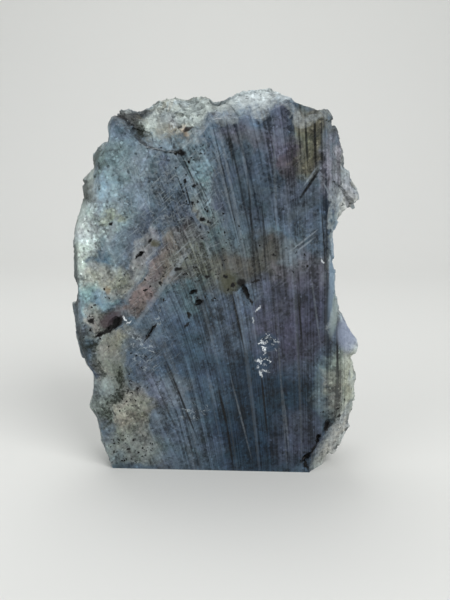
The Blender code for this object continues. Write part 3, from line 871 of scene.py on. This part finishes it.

# %% Facets of the rim in painted shade and highlight, and crusts
EDGE_PAINT = [
    # name, colour, strength, middle, half width, half height, turn, softness
    ("right strip", "#8498aa", 0.65, 33.2, 63, 0.9, 12, -2, 0.6),
    ("right strip foot", "#93a19f", 0.6, 34.3, 51, 1.0, 6, -8, 0.6),
    ("left crust", "#4a4e4e", 0.75, -41.6, 57, 0.9, 8, 0, 0.7),
    ("left crust low", "#3c4040", 0.75, -40.3, 40, 0.9, 5, 12, 0.7),
    ("blue chip front", "#8f98ac", 0.7, 38.2, 42.8, 2.6, 4.6, 18, 0.4),
]
RIM_FACET_SHADING_AND_CRUSTS = [
    # Painted shade and painted highlights on the facets of the left rim, a dark crust, and the painted
    # shadow in the hollow at the top left.
    ("upper facet shade", "#4f554f", 0.75, -34.8, 93.5, 0.9, 3.0, -25),
    ("facet shade", "#4a4f4b", 0.65, -38.2, 84.0, 1.0, 3.2, -12),
    ("facet highlight", "#aab5b1", 0.6, -36.4, 88.5, 0.7, 2.4, -20),
    ("lower facet highlight", "#b4c0bc", 0.6, -39.6, 77.5, 1.0, 3.6, -12),
    ("left crust high", "#45494a", 0.45, -41.2, 68, 0.7, 4.0, -6),
    ("top left shadow", "#1d2021", 0.65, -25.5, 106.3, 4.5, 1.5, 8),
]
edged = lay(lay(whole, EDGE_PAINT, on_place), RIM_FACET_SHADING_AND_CRUSTS, on_tight)
whole = node(tree, MIX, {"Factor": rim_only, "A": whole, "B": edged}, data_type="RGBA")
inner = whole                  # what shows further in, where none of the marks of the face reaches
print("painted facets and crusts:", len(EDGE_PAINT + RIM_FACET_SHADING_AND_CRUSTS))

# %% [markdown]
# Small black grains of ore lie in clusters, and a few large ones have places of their own. The
# clusters use Voronoi cells: each cell draws a number, and only the cells that draw a high one hold
# a grain. Inside a cluster the number that is needed is lower.

# %% Clusters of ore
CLUSTERS = [
    # strength, x, z, half width, half height, turn
    (0.45, -8, 84, 3, 9, 10), (0.9, -10, 95.5, 6, 1.6, 0), (0.7, -3, 60, 9, 6, -20),
    (0.9, 3, 59, 3.5, 4, 0), (0.6, -16, 60, 5, 6, -30), (0.8, -28, 26, 3.5, 9, -25),
    (0.7, -28, 7, 8, 4, 0), (0.6, -37, 40, 4, 8, 10), (0.6, 17, 66, 8, 4, 0),
    (0.7, -37, 46, 3, 3, 0), (0.5, 35, 18, 3, 5, -30), (0.6, 1, 73, 6, 4, 0),
    (0.5, -29, 56, 4, 5, 0),
]
crowd = 0.0
for strength, *shape in CLUSTERS:
    crowd = node(tree, MATH, {0: crowd, 1: patch(on_loose, strength, *shape)}, operation="MAXIMUM")


def ore(size, share, biggest):
    """Grains of ore: 1 on a grain. The share is of the cells, at the middle of a cluster."""
    cells = node(tree, CELLS, {"Vector": tight, "Scale": 1 / size})
    draw = node(tree, "ShaderNodeSeparateColor", {0: cells.outputs["Color"]})
    needed = node(tree, MATH, {0: crowd, 1: -share, 2: 1.0}, operation="MULTIPLY_ADD")
    radius = node(tree, RANGE, {"Value": draw, "From Min": needed, "From Max": 1.0, "To Max": biggest})
    core = node(tree, MATH, {0: radius, 1: ORE_EDGE}, operation="SUBTRACT")
    return node(tree, RANGE, {"Value": cells.outputs["Distance"], "From Min": radius, "From Max": core})


ORE_EDGE = 0.12
ORE_SIZES = [(1.5, 0.5, 0.4), (0.75, 0.5, 0.55)]     # size of a cell in mm, share, biggest grain
for ore_size in ORE_SIZES:
    whole = node(tree, MIX, {"Factor": ore(*ore_size), "A": whole, "B": paint("#15191b")},
                 data_type="RGBA")
print("clusters of ore:", len(CLUSTERS))

# %% Trails of ore, and painted shadow in the hollow at the top left
TRAILS = [
    # name, strength, two ends, width: crowds of ore too fine to draw one by one, and at the top left a
    # painted shadow
    ("by the left rim", 1.0, -38.2, 40, -36.6, 35.5, 5.0),
    ("left rim low", 0.9, -36.4, 35, -34.6, 29.5, 3.2),
    ("trail top", 1.0, -28.4, 32, -30.2, 25.5, 3.6),
    ("trail middle", 1.0, -30, 26, -33, 20.5, 3.8),
    ("trail foot", 0.9, -33, 20.5, -35.6, 14.5, 3.0),
    ("under the inclusion", 0.8, -35, 43.5, -29, 47.2, 4.2),
    ("beside the blob", 0.8, 5, 57, 10, 60, 4.0),
    ("top left", 0.6, -12, 95.5, -8, 96.5, 2.6),
    # These last two darken the hollow at the top left: painted shadow.
    ("top left shadow", 0.9, -30, 106.5, -22, 107, 3.6),
    ("top left hollow shadow", 1.0, -26.5, 104, -21.5, 100, 2.8),
]
SMOKE_SIZE, SMOKE_SWING = 0.7, 2.6     # the size in mm of the noise that draws them, and its swing
ore_and_shadow = node(tree, NOISE, {"Vector": place, "Scale": 1 / SMOKE_SIZE, "Detail": 5.0, "Roughness": 0.75})
ore_and_shadow = node(tree, MATH, {0: ore_and_shadow, 1: SMOKE_SWING, 2: -MID * SMOKE_SWING}, operation="MULTIPLY_ADD")
ore_and_shadow = node(tree, MATH, {0: ore_and_shadow, 1: gathered(strokes(TRAILS), on_loose)}, operation="ADD")
ore_and_shadow = node(tree, RANGE, {"Value": ore_and_shadow, "From Min": 0.3, "From Max": 1.1, "To Max": 0.92})
whole = node(tree, MIX, {"Factor": ore_and_shadow, "A": whole, "B": paint("#22251f")}, data_type="RGBA")
print("trails of ore:", len(TRAILS))

# %% Marks with places of their own
TINTED_MARKS = [
    # name, colour, strength, middle, half width, half height, turn, softness
    ("inclusion halo", "#4a4044", 0.8, -31.3, 47.2, 3.4, 1.8, 30, 0.5),
    ("olive cluster", "#4b4b3b", 0.7, 3, 59, 2.2, 2.6, 0, 0.8),
    ("speck beside", "#4b4a39", 0.8, -18, 70, 1.2, 0.8, 0, 0.6),
    ("rust speck", "#847259", 0.6, -32, 56, 0.7, 1.0, 0, 0.6),
    ("hook", "#241d18", 0.9, -8.7, 101.9, 1.5, 0.5, 25, 0.4),
]
BLACK_MARKS = [
    ("inclusion", 1.0, -29.6, 46.4, 1.1, 2.4, -44, 0.3),
    ("inclusion middle", 1.0, -32.0, 44.3, 0.8, 2.2, -55, 0.3),
    ("inclusion tail", 1.0, -34.5, 42.8, 0.45, 1.9, -60, 0.3),
    ("groove", 1.0, -19.7, 43.7, 0.42, 3.2, -34, 0.3),
    ("blob top", 1.0, 6.8, 58.8, 1.2, 1.1, 0, 0.4),
    ("blob", 1.0, 8.1, 56.2, 0.7, 2.3, 22, 0.4),
    ("blob tail", 0.95, 9.5, 53.6, 0.35, 1.3, 25, 0.4),
    ("blob arm", 0.95, 10.6, 59.3, 1.3, 0.35, 25, 0.4),
    ("speck big", 1.0, -5.5, 53, 1.2, 0.8, 25, 0.3),
    ("speck long", 1.0, -7.2, 56, 1.3, 0.5, 28, 0.3),
    ("speck low", 1.0, -8.5, 49, 0.6, 0.9, 10, 0.3),
    ("speck thin", 0.9, -9.0, 46, 0.35, 1.3, -32, 0.3),
    ("speck left", 1.0, -22.5, 66.6, 0.45, 1.5, -48, 0.3),
    ("speck olive", 1.0, -19.6, 70.6, 0.5, 0.9, -30, 0.4),
    ("speck bar 1", 1.0, -11.6, 62.6, 0.9, 0.6, 20, 0.4),
    ("speck bar 2", 1.0, -16.6, 58.2, 0.5, 0.4, 20, 0.4),
    ("speck mid", 1.0, -3.2, 60.6, 0.6, 0.5, 0, 0.4),
    ("speck rim", 1.0, -37.4, 47, 0.9, 0.7, 0, 0.4),
    ("speck high 1", 1.0, -9.5, 87.5, 0.5, 0.5, 0, 0.4),
    ("speck high 2", 1.0, -7, 86.3, 0.5, 0.6, 0, 0.4),
    ("speck high 3", 1.0, -4.6, 77, 0.9, 0.6, 0, 0.4),
    ("speck upper left", 1.0, -30.6, 75.3, 0.35, 0.6, -35, 0.4),
    ("corner speck 1", 1.0, 36.2, 20.6, 0.6, 0.5, 0, 0.4),
    ("corner speck 2", 0.9, 37, 18, 0.5, 0.5, 0, 0.4),
    ("top blotch", 1.0, -10.4, 95.2, 1.3, 0.8, -20, 0.5),
    ("olive speck 1", 1.0, 2.2, 60.4, 0.6, 0.5, 0, 0.4),
    ("olive speck 2", 1.0, 4.2, 58.2, 0.5, 0.7, 0, 0.4),
    ("olive speck 3", 1.0, 3.0, 57.0, 0.4, 0.4, 0, 0.4),
    ("hook speck", 0.9, -11.2, 102.6, 0.5, 0.8, -20, 0.4),
]
CRACKS = [
    # name, strength, two ends, width
    *series("corner crack", [
        (1.0, 34.0, 16.2, 32.5, 13.8, 1.5), (1.0, 31.2, 12.8, 30.4, 9.0, 1.1),
        (1.0, 30.5, 9.4, 28.4, 5.8, 0.8), (1.0, 28.8, 6.2, 25.7, 3.4, 1.1),
        (1.0, 26.6, 4.0, 28.2, 0.8, 0.9)]),
]
whole = lay(whole, TINTED_MARKS, on_tight)
whole = node(tree, MIX, {"Factor": gathered(BLACK_MARKS + strokes(CRACKS), on_tight), "A": whole,
                         "B": paint("#14171a")}, data_type="RGBA")
print("marks:", len(TINTED_MARKS + BLACK_MARKS + CRACKS))

# %% [markdown]
# In a few places fine cracks crowd together in white nests. Two small hollows, vugs, are lined with
# glassy facets, and the white flashes of those facets are painted highlights, one facet at a time. Both
# are veils again, kept inside patches.

# %% Nests of fine cracks
NESTS = [
    # name, strength, middle, half width, half height, turn
    ("under the inclusion", 0.8, -23.5, 40.5, 3.8, 1.6, -25),
    ("below the nest", 0.5, -21.0, 34.5, 4.0, 1.2, 15),
    ("above the groove", 0.5, -16.3, 50.5, 1.2, 3.0, -25),
    ("foot", 0.55, -7.3, 18, 1.2, 4.2, -35),
]
nests = node(tree, MATH, {0: gathered(NESTS, on_loose), 1: veils(3.2, 0.03, 1.3)}, operation="MULTIPLY")
nests = node(tree, MATH, {0: nests, 1: bruise}, operation="MULTIPLY")
whole = node(tree, MIX, {"Factor": nests, "A": whole, "B": paint("#b0babf")}, data_type="RGBA")
print("nests of cracks:", len(NESTS))

# %% The vug, and painted glints
FACET_SIZE = 1.2               # mm
GLASS_DEPTH = 0.85             # how far the blue glass of a hollow covers the stone
VUG = [("upper", 1.0, 14.7, 41, 2.9, 2.7, 0, 0.35), ("lower", 1.0, 13.7, 35, 2.0, 2.7, 12, 0.4)]
PAINTED_GLINTS = [
    ("by the inclusion", 0.8, -27.6, 48.2, -26.7, 46.9, 0.4),
    ("by the inclusion, low", 0.6, -26.6, 46.2, -25.6, 46.9, 0.4),
    ("above the vug", 0.6, 12.2, 52.4, 11.4, 50.4, 0.5),
    ("above the vug, low", 0.45, 10.0, 48.8, 10.6, 47.2, 0.4),
    ("vug tail", 0.6, 12.6, 32.2, 13.2, 30.6, 0.4),
    ("right edge", 0.6, 29.6, 66, 30.3, 64.8, 0.4),
]
vug = gathered(VUG, on_tight)
facets = node(tree, CELLS, {"Vector": tight, "Scale": 1 / FACET_SIZE})
facet_draw = node(tree, "ShaderNodeSeparateColor", {0: facets.outputs["Color"]})
glass = node(tree, MATH, {0: vug, 1: GLASS_DEPTH}, operation="MULTIPLY")
whole = node(tree, MIX, {"Factor": glass, "A": whole, "B": paint("#3d4b5b")}, data_type="RGBA")
# The white flashes on the vug's facets and the listed glints are painted highlights in the colour.
painted_flash = node(tree, RANGE, {"Value": facet_draw, "From Min": 0.5, "From Max": 0.9, "To Max": vug})
painted_flash = node(tree, MATH, {0: painted_flash, 1: veils(1.4, 0.075, 1.4)}, operation="MULTIPLY")
painted_flash = node(tree, MATH, {0: painted_flash, 1: gathered(strokes(PAINTED_GLINTS), on_tight)}, operation="MAXIMUM")
whole = node(tree, MIX, {"Factor": painted_flash, "A": whole, "B": hex_colour("#e3e9ec")}, data_type="RGBA")
print("hollows:", len(VUG), "glints:", len(PAINTED_GLINTS))

# %% [markdown]
# Last come the underside and the gloss. The saw left the base flat and matt, with faint arcs that
# share one centre, where the blade's axle stood. All that lies at the height of the table is sawn.
# The gloss follows the finish: smooth on the polished face, dull on the break, where single grains
# glint, and matt below. A fine bump adds the grains that are too small for the mesh.

# %% The sawn base
MARKS_FULL, MARKS_END = 3.5, 6.0       # mm behind the face, where all the marks fade out
SAWN_BELOW = 0.1               # mm
BLADE_AXLE = (-150.0, 90.0, 0.0)
SAW_MARKS = 1.3                # from one saw mark to the next, in mm
SAW_SHADE, SAW_DUST = 0.06, 0.6
skin_deep = node(tree, RANGE, {"Value": behind, "From Min": MARKS_END, "From Max": MARKS_FULL})
whole = node(tree, MIX, {"Factor": skin_deep, "A": inner, "B": whole}, data_type="RGBA")
sawn = node(tree, MATH, {0: height, 1: SAWN_BELOW}, operation="LESS_THAN")
radius = node(tree, VECTOR, {0: tight, 1: BLADE_AXLE}, operation="DISTANCE")
arcs = node(tree, MATH, {0: radius, 1: 2 * math.pi / SAW_MARKS}, operation="MULTIPLY")
arcs = node(tree, MATH, {0: arcs}, operation="SINE")
ground = node(tree, MATH, {0: arcs, 1: SAW_SHADE, 2: 1.0}, operation="MULTIPLY_ADD")
ground = node(tree, VECTOR, {0: faces, "Scale": ground}, operation="SCALE")
ground = node(tree, MIX, {"Factor": SAW_DUST, "A": ground, "B": paint("#7a8284")}, data_type="RGBA")
whole = node(tree, MIX, {"Factor": sawn, "A": whole, "B": ground}, data_type="RGBA")
print("saw marks, mm apart:", SAW_MARKS)

# %% Gloss and fine relief
POLISHED, DULL, GLINTING = 0.13, 0.62, 0.28
RELIEF_SIZE = 0.35             # mm
RELIEF_DEPTH, RELIEF_STRENGTH, SAW_RELIEF = 0.25 * MM, 0.7, 0.1
FELDSPAR_IOR = 1.56
SPECULAR_LEVEL = 0.2           # below the usual half, so that the pale studio doesn't veil the face
glints = node(tree, RANGE, {"Value": grain_draw.outputs["Blue"], "From Min": 0.8, "From Max": 0.95,
                            "To Min": DULL, "To Max": GLINTING})
gloss = node(tree, MIX, {"Factor": rough, "A": POLISHED, "B": glints})
gloss = node(tree, MIX, {"Factor": sawn, "A": gloss, "B": DULL})
sugar_relief = node(tree, NOISE, {"Vector": place, "Scale": 1 / RELIEF_SIZE, "Detail": 3.0})
saw_relief = node(tree, MATH, {0: arcs, 1: SAW_RELIEF}, operation="MULTIPLY")
relief = node(tree, MIX, {"Factor": sawn, "A": sugar_relief, "B": saw_relief})
bump = node(tree, "ShaderNodeBump", {
    "Height": relief, "Distance": RELIEF_DEPTH,
    "Strength": node(tree, MATH, {0: rough, 1: RELIEF_STRENGTH}, operation="MULTIPLY")})
tree.links.new(whole.outputs[2], shader.inputs["Base Color"])
tree.links.new(gloss.outputs[0], shader.inputs["Roughness"])
tree.links.new(bump.outputs[0], shader.inputs["Normal"])
shader.inputs["IOR"].default_value = FELDSPAR_IOR
shader.inputs["Specular IOR Level"].default_value = SPECULAR_LEVEL
print("nodes in the finish:", len(tree.nodes))

# %% The last line
print("sizes written for:", stone.name)
